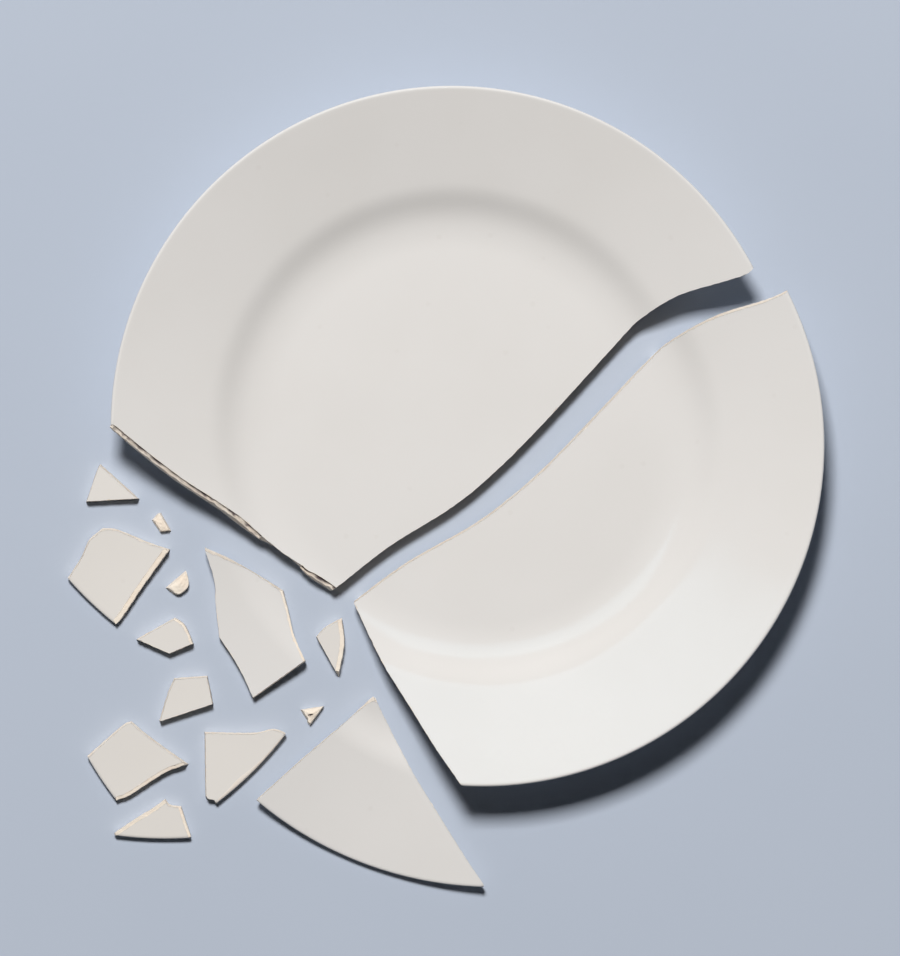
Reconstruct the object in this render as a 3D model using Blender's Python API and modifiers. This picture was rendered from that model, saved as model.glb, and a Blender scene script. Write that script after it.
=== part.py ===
"""A broken dinner plate: fifteen pieces lying glazed side up where they came to rest.

Two large halves, one wedge of the rim, nine shards and three chips are broken out of the
same turned plate. Each piece is written down in the plan of the unbroken plate, around the
plate's axis, as the edges along which it broke. It is cut out there, laid over until it
rests on the table, and moved to where it lies.

The table is z = 0, and the middle of the spread is the origin. Plans are in millimetres.
"""

import math
from collections import namedtuple

import bmesh
import bpy
import numpy as np
from mathutils import Matrix, Vector

MM = 0.001

# The unbroken plate, as radii and heights of its turned section (mm and degrees).
PLATE_RADIUS = 135.0
LIP_TOP_RADIUS = 133.3
LIP_UNDER_RADIUS = 133.0
LIP_SQUARENESS = 3
FLOOR_RADIUS = 71.0

# Slope of the top face (degrees) at radii from the axis to the rim, even in between.
SLOPES = ((0, 0), (FLOOR_RADIUS, 0), (80.5, 10.5), (87.0, 25.0), (90.0, 29.0), (92.5, 26.0),
          (97.0, 15.0), (118.0, 16.5), (PLATE_RADIUS, 16.5))

RECESS_HEIGHT = 2.5
FLOOR_THICKNESS = 4.8
WALL_THICKNESS = 5.2
LIP_THICKNESS = 3.7

FOOT_OUTER_RADIUS = 78.6
FOOT_WIDTH = 2.8
FOOT_ROUNDING = 0.5
FOOT_FLANK = 1.1
FOOT_ROOT_RADIUS = 82.0

TURN_STEPS = 96
SLOPE_STEP = 0.25
LIP_TOP_ANGLES = (30, 55, 75)
LIP_UNDER_ANGLES = (70, 40)
WALL_TOP_RADII = (74.5, 78, 80.5, 83, 85.5, 88, 90, 92.5, 94.5, 97, 107, 118)
WALL_UNDER_RADII = (118, 97, 94.5, 92.5, 90, 87, 84.5)

# The breaks and the blocks that cut along them (mm).
POINT_SPACING = 5.0
OVERCUT = 2.0
RIM_CLEARANCE = 8.0
BLOCK_BOTTOM = -6.0
BLOCK_TOP = 34.0
ARC_STEP = 5.0
SHARP_TURN = 0.6
CHIP_THICKNESS = 2.4
CHIP_CROWN = 0.7

GLAZE_COLOUR = (0.80, 0.785, 0.76, 1.0)
GLAZE_ROUGHNESS = 0.16

# Break: one edge from corner to corner, with how far its foot stands out past its top.
# A negative lean is an undercut. Piece: where the plate's axis would be, how far the piece
# lies over and towards which bearing, and its breaks in counter-clockwise order. Breaks
# that start and end at the rim leave the rim between them whole.
Break = namedtuple("Break", "lean points")
Piece = namedtuple("Piece", "axis lies_over towards breaks")

PIECES = {
    "upper_half": Piece((2, 24), 0, 0, (
        Break(1.5, ((-136.5, 1), (-124, -9.5), (-108.1, -21.8), (-90.4, -33.5), (-76.5, -44.5))),
        Break(-1.9, ((-76.5, -44.5), (-70.6, -48.4), (-60.2, -56))),
        Break(1.6, ((-60.2, -56), (-58.1, -58.3), (-51, -62.6), (-47.4, -65.1))),
        Break(-0.6, ((-47.4, -65.1), (-25.3, -47.7), (-1, -32.5), (14.6, -20.1), (34, -1),
                     (67.5, 35.5), (76.5, 44), (90, 52.3), (107, 57.5), (115.6, 60.1),
                     (119, 62.2), (120.3, 64.5))),
    )),
    "lower_half": Piece((14.6, 16.9), 0, 0, (
        Break(0.8, ((121.5, 62), (112, 57.7), (91.5, 51.1), (74, 41.5), (64.5, 33), (52.5, 20.5),
                    (26, -7), (9.5, -21.5), (-5, -32), (-30.5, -46.5), (-52, -62.2))),
        Break(-1.7, ((-52, -62.2), (-42.8, -82.3), (-28.3, -105.6), (-18.8, -120.6), (-7.3, -137))),
    )),
    "rim_wedge": Piece((15.3, -20.3), 20.3, 249.5, (
        Break(-1.2, ((2, -136.5), (-10.3, -119.6), (-33.3, -84.6), (-39.9, -72.1), (-43.3, -64.4))),
        Break(-0.2, ((-43.3, -64.4), (-47, -65.3), (-68.2, -82), (-93, -103))),
    )),
    "long_shard": Piece((4.8, 2.6), 20.9, 215, (
        Break(0.2, ((-100.2, -26), (-96.5, -39), (-96, -48), (-94.5, -61.4))),
        Break(0.4, ((-94.5, -61.4), (-86.5, -74), (-80.7, -85.7))),
        Break(0.2, ((-80.7, -85.7), (-60.5, -71.3))),
        Break(0.9, ((-60.5, -71.3), (-65.5, -61.5), (-68.2, -52), (-70.5, -44.2))),
        Break(0.5, ((-70.5, -44.2), (-86.5, -33), (-100.2, -26))),
    )),
    "square_rim_shard": Piece((-47.4, 52.4), 18, 226.9, (
        Break(2, ((-84.3, -107.3), (-80.8, -103.8), (-73, -92), (-63, -77.9))),
        Break(0.4, ((-63, -77.9), (-71.5, -74.9), (-83.4, -69.8), (-89.3, -69))),
        Break(0.5, ((-89.3, -69), (-94.5, -73.5), (-97.6, -80.3), (-103, -88.8))),
    )),
    "kite_rim_shard": Piece((-24.1, -41), 18, 215.5, (
        Break(1.4, ((-107.5, -83.5), (-101.5, -81.5), (-88, -73), (-79.1, -69.7))),
        Break(0.4, ((-79.1, -69.7), (-93.5, -59.2), (-101.4, -52.4))),
        Break(0.6, ((-101.4, -52.4), (-105.5, -54.6), (-119.5, -67))),
    )),
    "corner_rim_shard": Piece((-173, -16.4), 18, 313, (
        Break(0.4, ((110.5, -81.2), (103.9, -78.9), (95.9, -80.6), (77, -80.8))),
        Break(0.3, ((77, -80.8), (76.7, -105.5))),
        Break(0.2, ((76.7, -105.5), (77.6, -106.7), (79.8, -107.1), (81, -108.9), (82.7, -111))),
    )),
    "low_rim_shard": Piece((-112.1, -3.8), 18, 268, (
        Break(1, ((11.5, -136.5), (6.7, -122.9))),
        Break(0.5, ((6.7, -122.9), (2.3, -122.2), (0.4, -120.1))),
        Break(1.3, ((0.4, -120.1), (-5.5, -124.2), (-9.7, -126.5), (-26, -136.8))),
    )),
    "triangle_shard": Piece((-32.9, 47.1), 17.3, 204.4, (
        Break(0.5, ((-89.6, -51.3), (-103.6, -38.4))),
        Break(0.3, ((-103.6, -38.4), (-105.4, -38.4), (-110, -52.2))),
        Break(0.2, ((-110, -52.2), (-89.6, -51.3))),
    )),
    "blunt_shard": Piece((-21.6, 3), 17.3, 215.5, (
        Break(0.4, ((-86.5, -54.8), (-101.3, -63.1))),
        Break(0.2, ((-101.3, -63.1), (-88.4, -69))),
        Break(0.2, ((-88.4, -69), (-79.1, -65.2))),
        Break(0.8, ((-79.1, -65.2), (-82.5, -58), (-86.5, -54.8))),
    )),
    "slim_shard": Piece((32.9, 8), 17.3, 223, (
        Break(0.3, ((-74.4, -59.8), (-81, -63.5), (-84.3, -67.1))),
        Break(0.2, ((-84.3, -67.1), (-75.2, -83))),
        Break(1.7, ((-75.2, -83), (-73.2, -70), (-74.4, -59.8))),
    )),
    "tapered_shard": Piece((0.4, -45.5), 17.3, 200.6, (
        Break(0.4, ((-95.8, -29.5), (-108.5, -30.2))),
        Break(0.6, ((-108.5, -30.2), (-111, -36), (-114.2, -47.4))),
        Break(-0.5, ((-114.2, -47.4), (-93.5, -40.6))),
        Break(0.2, ((-93.5, -40.6), (-95.8, -29.5))),
    )),
    "oblong_chip": Piece((-2.4, 26), 18, 200.6, (
        Break(0.9, ((-106.9, -43.2), (-110.9, -36))),
        Break(0.5, ((-110.9, -36), (-112.2, -36.3), (-114.4, -38.8))),
        Break(0.4, ((-114.4, -38.8), (-111.3, -43.5))),
        Break(0.3, ((-111.3, -43.5), (-106.9, -43.2))),
    )),
    "crescent_chip": Piece((-19.5, 12.4), 17.4, 212, (
        Break(0.8, ((-83.9, -45.3), (-91.7, -52))),
        Break(0.4, ((-91.7, -52), (-87.3, -54.9), (-83.6, -52.9), (-82.9, -50), (-83.9, -45.3))),
    )),
    "small_chip": Piece((17.3, -18.9), 17.6, 223, (
        Break(0.7, ((-65.7, -67.7), (-75.1, -69.1))),
        Break(0.4, ((-75.1, -69.1), (-73.1, -72.2), (-72.4, -72.9), (-72.3, -74.2), (-71.2, -75.3))),
        Break(0.4, ((-71.2, -75.3), (-65.7, -67.7))),
    )),
}
CHIPS = ("oblong_chip", "crescent_chip", "small_chip")


def clear_scene():
    """Takes every object out of the open scene."""
    for thing in list(bpy.data.objects):
        bpy.data.objects.remove(thing, do_unlink=True)


def new_collection(name):
    """Adds a collection to the scene."""
    made = bpy.data.collections.new(name)
    bpy.context.scene.collection.children.link(made)
    return made


def slope_at(radius):
    """Slope of the top face: flat floor, steepening wall, then the even brim."""
    radii, slopes = zip(*SLOPES)
    return np.interp(radius, radii, slopes)


def height_along(radius):
    """Height that the slope has gained at a radius, summed in small steps."""
    stations = np.arange(0, PLATE_RADIUS + SLOPE_STEP, SLOPE_STEP)
    rises = np.tan(np.radians(slope_at(stations[:-1] + SLOPE_STEP / 2))) * SLOPE_STEP
    return np.interp(radius, stations, np.concatenate(([0], np.cumsum(rises))))


def thickness(radius):
    """Upright thickness of the plate, thinning from the wall to the lip."""
    return np.interp(radius, (0, FLOOR_RADIUS, FOOT_ROOT_RADIUS, LIP_TOP_RADIUS),
                     (FLOOR_THICKNESS, FLOOR_THICKNESS, WALL_THICKNESS, LIP_THICKNESS))


def lip_share(radius, start):
    """Share of the half thickness left where the lip closes in, as a squared-off ellipse."""
    into_lip = np.clip((radius - start) / (PLATE_RADIUS - start), 0, 1)
    return (1 - into_lip ** LIP_SQUARENESS) ** (1 / LIP_SQUARENESS)


def middle(radius):
    """Height of the middle of the plate's wall."""
    floor_top = RECESS_HEIGHT + FLOOR_THICKNESS
    return floor_top + height_along(radius) - thickness(radius) / 2


def top(radius):
    """Height of the glazed top face."""
    return middle(radius) + thickness(radius) / 2 * lip_share(radius, LIP_TOP_RADIUS)


def underside(radius):
    """Height of the underside, without the foot ring."""
    return middle(radius) - thickness(radius) / 2 * lip_share(radius, LIP_UNDER_RADIUS)


def plate_profile():
    """Section from the axis out over the top face, round the lip and back underneath."""
    lip = PLATE_RADIUS - LIP_TOP_RADIUS
    top_radii = [0, FLOOR_RADIUS, *WALL_TOP_RADII, LIP_TOP_RADIUS]
    top_radii += [LIP_TOP_RADIUS + lip * math.sin(math.radians(a)) for a in LIP_TOP_ANGLES]
    top_radii += [PLATE_RADIUS]
    roll = PLATE_RADIUS - LIP_UNDER_RADIUS
    under_radii = [LIP_UNDER_RADIUS + roll * math.sin(math.radians(a))
                   for a in LIP_UNDER_ANGLES]
    under_radii += [LIP_UNDER_RADIUS, *WALL_UNDER_RADII, FOOT_ROOT_RADIUS]
    foot_inner = FOOT_OUTER_RADIUS - FOOT_WIDTH
    foot = [
        (FOOT_OUTER_RADIUS + FOOT_ROUNDING, FOOT_ROUNDING),
        (FOOT_OUTER_RADIUS, 0),
        (foot_inner, 0),
        (foot_inner - FOOT_ROUNDING, FOOT_ROUNDING),
        (foot_inner - FOOT_FLANK, RECESS_HEIGHT),
        (0, RECESS_HEIGHT),
    ]
    outside = [(r, float(top(r))) for r in top_radii]
    beneath = [(r, float(underside(r))) for r in under_radii]
    return outside + beneath + foot


def turned_plate(name, parts):
    """A whole plate turned about Z: the profile with a Screw modifier."""
    profile = plate_profile()
    mesh = bpy.data.meshes.new(name)
    points = [(r * MM, 0, z * MM) for r, z in profile]
    mesh.from_pydata(points, [(i, i + 1) for i in range(len(points) - 1)], [])
    plate = bpy.data.objects.new(name, mesh)
    parts.objects.link(plate)
    screw = plate.modifiers.new("turn", "SCREW")
    screw.axis = "Z"
    screw.steps = screw.render_steps = TURN_STEPS
    screw.use_merge_vertices = True
    screw.merge_threshold = 0.00001
    return plate


def smooth_run(points):
    """Points along a smooth curve through the given ones (Catmull-Rom), last one left out."""
    p = np.array(points, float)
    if len(p) == 2:
        return p[:1]
    ends = np.vstack((2 * p[0] - p[1], p, 2 * p[-1] - p[-2]))
    run = []
    for a, b, c, d in zip(ends, ends[1:], ends[2:], ends[3:]):
        steps = max(1, round(np.linalg.norm(c - b) / POINT_SPACING))
        t = (np.arange(steps) / steps)[:, None]
        run.append(0.5 * (2 * b + (c - a) * t + (2 * a - 5 * b + 4 * c - d) * t ** 2
                          + (3 * b - a - 3 * c + d) * t ** 3))
    return np.vstack(run)


def around_the_rim(first, last):
    """Arc outside the rim, counter-clockwise from the last break's end to the first's."""
    start = math.atan2(last[1], last[0])
    sweep = (math.atan2(first[1], first[0]) - start) % math.tau
    count = max(2, round(math.degrees(sweep) / ARC_STEP) + 1)
    angles = start + np.linspace(0, sweep, count)
    return (PLATE_RADIUS + RIM_CLEARANCE) * np.column_stack((np.cos(angles), np.sin(angles)))


def outline(piece):
    """Closed outline of a piece in the plate's plan, and the lean of each of its sides."""
    runs = [smooth_run(edge.points) for edge in piece.breaks]
    leans = [np.full(len(run), edge.lean) for run, edge in zip(runs, piece.breaks)]
    first, last = piece.breaks[0].points[0], piece.breaks[-1].points[-1]
    if first != last:
        arc = around_the_rim(first, last)
        lean_out = np.zeros(len(arc))
        lean_out[-1] = piece.breaks[0].lean
        runs += [np.array([last], float), arc]
        leans += [np.array([piece.breaks[-1].lean]), lean_out]
    return np.vstack(runs), np.concatenate(leans)


def drawn_in(points, amounts):
    """Moves each side of a counter-clockwise outline inwards by its own amount."""
    along = np.roll(points, -1, axis=0) - points
    along /= np.linalg.norm(along, axis=1)[:, None]
    inward = np.column_stack((-along[:, 1], along[:, 0]))
    before, amount_before = np.roll(inward, 1, axis=0), np.roll(amounts, 1)
    turn = before[:, 0] * inward[:, 1] - before[:, 1] * inward[:, 0]
    even = (before * amount_before[:, None] + inward * amounts[:, None]) / 2
    sharp = np.abs(turn) > SHARP_TURN
    safe = np.where(sharp, turn, 1)
    x = (amount_before * inward[:, 1] - amounts * before[:, 1]) / safe
    y = (amounts * before[:, 0] - amount_before * inward[:, 0]) / safe
    return points + np.where(sharp[:, None], np.column_stack((x, y)), even)


def square_through(points):
    """How far outwards a crack moves on its way down through the wall, square to it."""
    radius = np.linalg.norm(points, axis=1)
    slope = np.radians(slope_at(radius))
    drift = thickness(radius) * np.sin(slope) * np.cos(slope)
    return points * (drift / radius)[:, None]


def block_rings(piece, is_chip):
    """Rings of the block that cuts a piece out, from below the plate to above it.

    Between the two faces of the plate each side runs square through the wall, with its
    lean added, and it carries on straight for the overcut. A chip is a flake off the
    underside, so its block ends inside the wall.
    """
    points, leans = outline(piece)
    square = square_through(points) / 2
    upper = drawn_in(points, np.maximum(leans, 0)) - square
    lower = drawn_in(points, np.maximum(-leans, 0)) + square
    upper_radius = np.minimum(np.linalg.norm(upper, axis=1), LIP_TOP_RADIUS)
    lower_radius = np.minimum(np.linalg.norm(lower, axis=1), LIP_TOP_RADIUS)
    ceiling, floor = top(upper_radius), underside(lower_radius)
    floor = np.where(lower_radius < FOOT_ROOT_RADIUS, np.minimum(floor, RECESS_HEIGHT), floor)
    if is_chip:
        ceiling = floor + CHIP_THICKNESS
    spread = (upper - lower) * (OVERCUT / (ceiling - floor))[:, None]
    bottom = np.full(len(points), BLOCK_BOTTOM)
    rings = [(lower - spread, bottom), (lower - spread, floor - OVERCUT)]
    if is_chip:
        return rings + [(upper, ceiling)]
    lid = np.full(len(points), BLOCK_TOP)
    return rings + [(upper + spread, ceiling + OVERCUT), (upper + spread, lid)]


def lofted_block(name, rings, is_chip, cutters):
    """A closed block through rings of equal length; a chip's upper cap is crowned."""
    shape = bmesh.new()
    loops = [[shape.verts.new((x * MM, y * MM, z * MM)) for (x, y), z in zip(plan, heights)]
             for plan, heights in rings]
    for low, high in zip(loops, loops[1:]):
        for i in range(len(low)):
            j = (i + 1) % len(low)
            shape.faces.new((low[i], low[j], high[j], high[i]))
    shape.faces.new(reversed(loops[0]))
    cap = shape.faces.new(loops[-1])
    if is_chip:
        bmesh.ops.poke(shape, faces=[cap], offset=CHIP_CROWN * MM)
    mesh = bpy.data.meshes.new(name)
    shape.to_mesh(mesh)
    shape.free()
    block = bpy.data.objects.new(name, mesh)
    block.hide_render = True
    block.display_type = "WIRE"
    cutters.objects.link(block)
    return block


def glaze(name):
    """Off-white glazed porcelain."""
    material = bpy.data.materials.new(f"{name}_glaze")
    material.use_nodes = True
    shader = material.node_tree.nodes["Principled BSDF"]
    shader.inputs["Base Color"].default_value = GLAZE_COLOUR
    shader.inputs["Roughness"].default_value = GLAZE_ROUGHNESS
    shader.inputs["Metallic"].default_value = 0
    return material


def applied(thing):
    """Replaces an object's mesh by its evaluated one, and drops its modifiers."""
    bpy.context.view_layer.update()
    seen = thing.evaluated_get(bpy.context.evaluated_depsgraph_get())
    mesh = bpy.data.meshes.new_from_object(seen)
    thing.modifiers.clear()
    thing.data = mesh


def broken_out(name, piece, parts, cutters):
    """The piece, still in its place in the plate."""
    is_chip = name in CHIPS
    block = lofted_block(f"{name}_block", block_rings(piece, is_chip), is_chip, cutters)
    shard = turned_plate(name, parts)
    cut = shard.modifiers.new("break", "BOOLEAN")
    cut.operation = "INTERSECT"
    cut.solver = "EXACT"
    cut.object = block
    applied(shard)
    shard.data.materials.clear()
    shard.data.materials.append(glaze(name))
    shard.data.shade_smooth()
    shard.data.set_sharp_from_angle(angle=math.radians(30))
    return shard


def laid_down(shard, piece):
    """Leans a shard over towards its bearing and sets its lowest point on the table."""
    bearing = math.radians(piece.towards)
    hinge = Vector((-math.sin(bearing), math.cos(bearing), 0))
    corners = np.empty(len(shard.data.vertices) * 3)
    shard.data.vertices.foreach_get("co", corners)
    box = corners.reshape(-1, 3)
    centre = Vector((box.max(axis=0) + box.min(axis=0)) / 2)
    axis = Vector((piece.axis[0] * MM, piece.axis[1] * MM, 0))
    lean = Matrix.Rotation(math.radians(piece.lies_over), 4, hinge)
    place = Matrix.Translation(centre + axis) @ lean @ Matrix.Translation(-centre)
    lowest = min((place @ v.co).z for v in shard.data.vertices)
    shard.matrix_world = Matrix.Translation((0, 0, -lowest)) @ place


def centre_the_spread(shards):
    """Shifts all pieces together, so that the middle of the spread is the origin."""
    bpy.context.view_layer.update()
    points = np.array([s.matrix_world @ v.co for s in shards for v in s.data.vertices])
    middle_point = (points.max(axis=0) + points.min(axis=0)) / 2
    shift = Matrix.Translation((-middle_point[0], -middle_point[1], 0))
    for shard in shards:
        shard.matrix_world = shift @ shard.matrix_world


def main():
    clear_scene()
    parts = new_collection("broken_plate")
    cutters = new_collection("break_blocks")
    shards = []
    for name, piece in PIECES.items():
        shard = broken_out(name, piece, parts, cutters)
        laid_down(shard, piece)
        shards.append(shard)
    centre_the_spread(shards)


main()
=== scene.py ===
"""The looks of a broken dinner plate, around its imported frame.

Each piece is one closed skin, worked out on a grid: one number goes round the piece's
outline, the other from the middle of its top out to the edge, down the broken face and back
in underneath. The section of the unbroken plate gives the height at every radius, and a
piece is laid over once it is whole. Plans are in millimetres around the plate's axis.
"""

import math
from collections import namedtuple

import bpy
import numpy as np
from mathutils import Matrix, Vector

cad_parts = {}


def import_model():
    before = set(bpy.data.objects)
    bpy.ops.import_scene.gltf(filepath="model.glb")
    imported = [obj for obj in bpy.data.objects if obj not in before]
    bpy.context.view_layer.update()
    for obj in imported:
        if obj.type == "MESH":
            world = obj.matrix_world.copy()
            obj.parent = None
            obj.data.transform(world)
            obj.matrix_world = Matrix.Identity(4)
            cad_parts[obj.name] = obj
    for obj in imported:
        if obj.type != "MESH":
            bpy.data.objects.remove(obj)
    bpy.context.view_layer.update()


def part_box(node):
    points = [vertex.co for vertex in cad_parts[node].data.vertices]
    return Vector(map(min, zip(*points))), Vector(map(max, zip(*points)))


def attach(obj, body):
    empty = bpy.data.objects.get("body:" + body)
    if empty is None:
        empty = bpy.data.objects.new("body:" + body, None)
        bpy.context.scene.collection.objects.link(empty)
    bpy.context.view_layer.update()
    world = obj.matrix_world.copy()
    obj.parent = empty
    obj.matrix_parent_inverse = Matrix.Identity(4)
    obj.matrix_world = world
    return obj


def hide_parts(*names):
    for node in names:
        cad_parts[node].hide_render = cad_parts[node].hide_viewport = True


MM = 0.001

# The unbroken plate's turned section (mm and degrees).
PLATE_RADIUS = 135.0
LIP_TOP_RADIUS = 133.3
LIP_UNDER_RADIUS = 133.0
LIP_SQUARENESS = 3
FLOOR_RADIUS = 71.0
BRIM_RADIUS = 97.0

# Slope of the top face (degrees) at radii from the axis to the rim, even in between.
SLOPES = ((0, 0), (FLOOR_RADIUS, 0), (80.5, 10.5), (87.0, 25.0), (90.0, 29.0), (92.5, 26.0),
          (BRIM_RADIUS, 15.0), (118.0, 16.5), (PLATE_RADIUS, 16.5))
RECESS_HEIGHT = 2.5
FLOOR_THICKNESS = 4.8
WALL_THICKNESS = 5.2
LIP_THICKNESS = 3.7
FOOT_OUTER_RADIUS = 78.6
FOOT_WIDTH = 2.8
FOOT_ROUNDING = 0.5
FOOT_FLANK = 1.1
FOOT_ROOT_RADIUS = 82.0
FOOT_INNER_RADIUS = FOOT_OUTER_RADIUS - FOOT_WIDTH
SLOPE_STEP = 0.25

# How finely a skin is drawn (mm, counts and shares). A band is a list of distances in from
# the edge, of which the widest is at most BAND_SHARE of the way to the middle.
RUN_STEPS = 24
BREAK_SPACING = 1.0
RIM_SPACING = 1.8
SMALL_SPACING = 0.55
FEWEST_STEPS = 8
SHORTEST_STEP = 0.12
CROWDING = 0.6
TOP_BAND = (3.6, 2.8, 2.15, 1.6, 1.15, 0.8, 0.52, 0.3, 0.14, 0.05, 0)
UNDER_BAND = (2.4, 1.7, 1.1, 0.65, 0.3, 0.1, 0)
BAND_SHARE = 0.45
FOOT_EDGES = (FOOT_INNER_RADIUS - FOOT_FLANK, FOOT_INNER_RADIUS - FOOT_ROUNDING,
              FOOT_INNER_RADIUS, FOOT_OUTER_RADIUS, FOOT_OUTER_RADIUS + FOOT_ROUNDING)
TOP_CIRCLES = (*np.arange(FLOOR_RADIUS, BRIM_RADIUS + 1, 1.75), 103, 110, 117, 124, 128)
UNDER_CIRCLES = (*FOOT_EDGES, 80.5, *np.arange(FOOT_ROOT_RADIUS, BRIM_RADIUS + 1, 2.2),
                 104, 113, 122, 129)
INNER_ROWS = 18
SMALL_ROW = 0.9
CHIP_ROW = 0.3
FEWEST_ROWS = 4
MIDDLE_TRIES = 61

# The least turn from one column of a grid to the next (radians).
LEAST_TURN = 2e-4

# Rows of a broken face, as shares of the way down it, down its ledge and down the rest, and
# how far down the last one lies.
GLAZE_ROWS = (0.04, 0.055, 0.07, 0.08)
LEDGE_ROWS = (0, 0.15, 0.3, 0.45, 0.6, 0.75, 0.9, 1)
LOWER_ROWS = (0.1, 0.22, 0.35, 0.48, 0.61, 0.74, 0.87, 0.98, 1)
FACE_END = 0.945

# Points nearer than this are one (mm), and edges that turn by more look sharp (degrees).
WELD = 1e-4
SHARP_ANGLE = 38

# Corners of the broken edges: the sine of a sharp turn, and how much of a side is stretched
# towards its corner, as a share of its length and at most so far (mm).
SHARP_TURN = 0.6
CORNER_SHARE = 0.45
CORNER_REACH = 12.0

# How near the rim a point counts as on it (mm).
ON_RIM = 0.01

# Roughness of the breaks, as (height, size) of each layer of unevenness (mm), and the slow
# waviness of the glaze.
EDGE_ROUGHNESS = ((0.05, 2.8), (0.025, 0.9))
FACE_ROUGHNESS = ((0.08, 4.5), (0.028, 1.4))
FLAKE_ROUGHNESS = ((0.16, 5.0), (0.06, 1.3))
GLAZE_WAVINESS = (0.03, 38.0)

# Ledges in the broken faces: where one starts and how far it drops, as shares of the way
# down, and how much its width wanders. The start wanders as (share, size in mm), and the
# width at a size of its own (mm).
Ledge = namedtuple("Ledge", "start drop raggedness")
HALF_LEDGE = Ledge(0.2, 0.1, 0.22)
SHARD_LEDGE = Ledge(0.025, 0.05, 0.07)
SHELF_WANDER = (0.5, 6.0)
SHELF_RAGGED_SIZE = 2.6

# Nicks bitten out of the glaze's edges: their spacing and widths (mm), their depth as a share
# of their width and of how far they reach in, the shares that a width is scaled by, and how
# soon they turn bare.
NICK_SPACING = 24.0
FEWEST_NICKS = 2
NICK_WIDTHS = (0.3, 1.1)
NICK_DEPTH = 0.4
NICK_REACH = 0.75
NICK_SHARES = (0.4, 1)
NICK_BARENESS = 4

# The band along the glaze's edges where it has flaked, lighter than the glaze and partly a
# painted highlight along the edges: its widths, the size of its waves and its blur (mm), and
# how bare it is. A worn lip has a band of its own width (mm), partly worn and partly a painted
# highlight of its rounded lip.
FLAKED_LIT_WIDTHS = (0.05, 0.5)
FLAKED_LIT_SIZE = 3.0
FLAKED_LIT_BLUR = 0.12
FLAKED_LIT_SHARE = 0.5
WORN_AND_LIT_LIPS = {"corner_rim_shard": 2.4}

# Painted shade in the ledges of the halves, darkest in the corner under the glaze's edge,
# with a faint even darkening over the rest of the face: how far out it reaches and fades, as
# shares of a ledge, how its reach wanders (share, mm), the size of its patches (mm) and how
# dark they are.
SHADE_REACH = 0.6
SHADE_EDGE = 0.25
SHADE_RAGGED = (0.3, 2.4)
SHADE_PATCH_SIZE = 7.0
SHADE_MEAN = 0.75
SHADE_PATCHINESS = 0.6
SHADE_FILM = 0.08

# Chips, flaked off the underside, and the pit in one of them (mm and degrees), with how soon
# its painted shade turns dark.
CHIP_THICKNESS = 2.4
CHIP_CROWN = 0.7
PIT_DEPTH = 1.3
PIT_SHADE = 2.5
Pit = namedtuple("Pit", "middle bearing half_length half_width")
PITS = {"small_chip": Pit((-70.8, -71.0), 22, 1.25, 0.38)}

# Seeds: each piece has its own, and each kind of unevenness on it adds a number to that.
SEED_STEP = 100
FOOT_SEED = 10
NICK_SEED = 20
FLAKED_LIT_SEED = 25
WAVY_SEED = 30
FACE_SEED = 40
SHADE_SEED = 50
WANDER_SEED = 5
RAGGED_SEED = 6

# One layer of unevenness is a sum of this many plane waves, of sizes between these times
# its own.
WAVE_COUNT = 12
WAVE_SIZES = (0.6, 1.6)

# Finishes (linear colours, sizes and heights in metres, scales per metre, and shares).
GLAZE = (0.80, 0.785, 0.765, 1)
GLAZE_SHADE = (0.775, 0.758, 0.733, 1)
SHARD_GLAZE = (0.80, 0.772, 0.733, 1)
SHARD_GLAZE_SHADE = (0.775, 0.745, 0.702, 1)
GLAZE_SPECK = (0.42, 0.36, 0.29, 1)
GLAZE_CLOUDS = {"Cloud scale": 22.0, "Cloud share": 0.5, "Speck scale": 110.0,
                "Speck share": 0.05}
GLAZE_ROUGHNESS = 0.10
GLAZE_DULLING = 0.08
DULLING_SIZE = 0.012
GLAZE_PEEL = 0.05
PEEL_SIZE = 0.0018
PEEL_DETAIL = 1.0
BODY = (0.955, 0.868, 0.752, 1)
BODY_SHADE = (0.925, 0.79, 0.65, 1)
BODY_SPECK = (0.60, 0.46, 0.36, 1)
# Painted shade: the dark colour that the body is blended towards in the ledge corners under the
# glaze and in the chip's pit.
PAINTED_SHADE = (0.13, 0.10, 0.105, 1)
BODY_CLOUDS = {"Cloud scale": 160.0, "Cloud share": 0.7, "Speck scale": 900.0,
               "Speck share": 0.3}
BODY_ROUGHNESS = 0.85
GRAIN_HEIGHT = 0.00025
GRAIN_SIZE = 0.0007
GRAIN_DETAIL = 6.0
BARE_FROM, BARE_TO = 0.35, 0.65
CLOUD_FROM, CLOUD_TO = 0.35, 0.7
CLOUD_DETAIL = 4.0
SPECK_FROM, SPECK_TO = 0.06, 0.16
SPECK_RARITY = 0.75
TABLE = (0.50, 0.56, 0.66, 1)
TABLE_SHADE = (0.47, 0.53, 0.63, 1)
TABLE_CLOUDS = {"Cloud scale": 6.0, "Cloud share": 0.3, "Speck scale": 500.0,
                "Speck share": 0.0}
TABLE_ROUGHNESS = 0.9

# Places of the mix node's first, second and result sockets, for each kind of data.
MIX_SOCKETS = {"RGBA": (6, 7, 2), "FLOAT": (2, 3, 0)}

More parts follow.
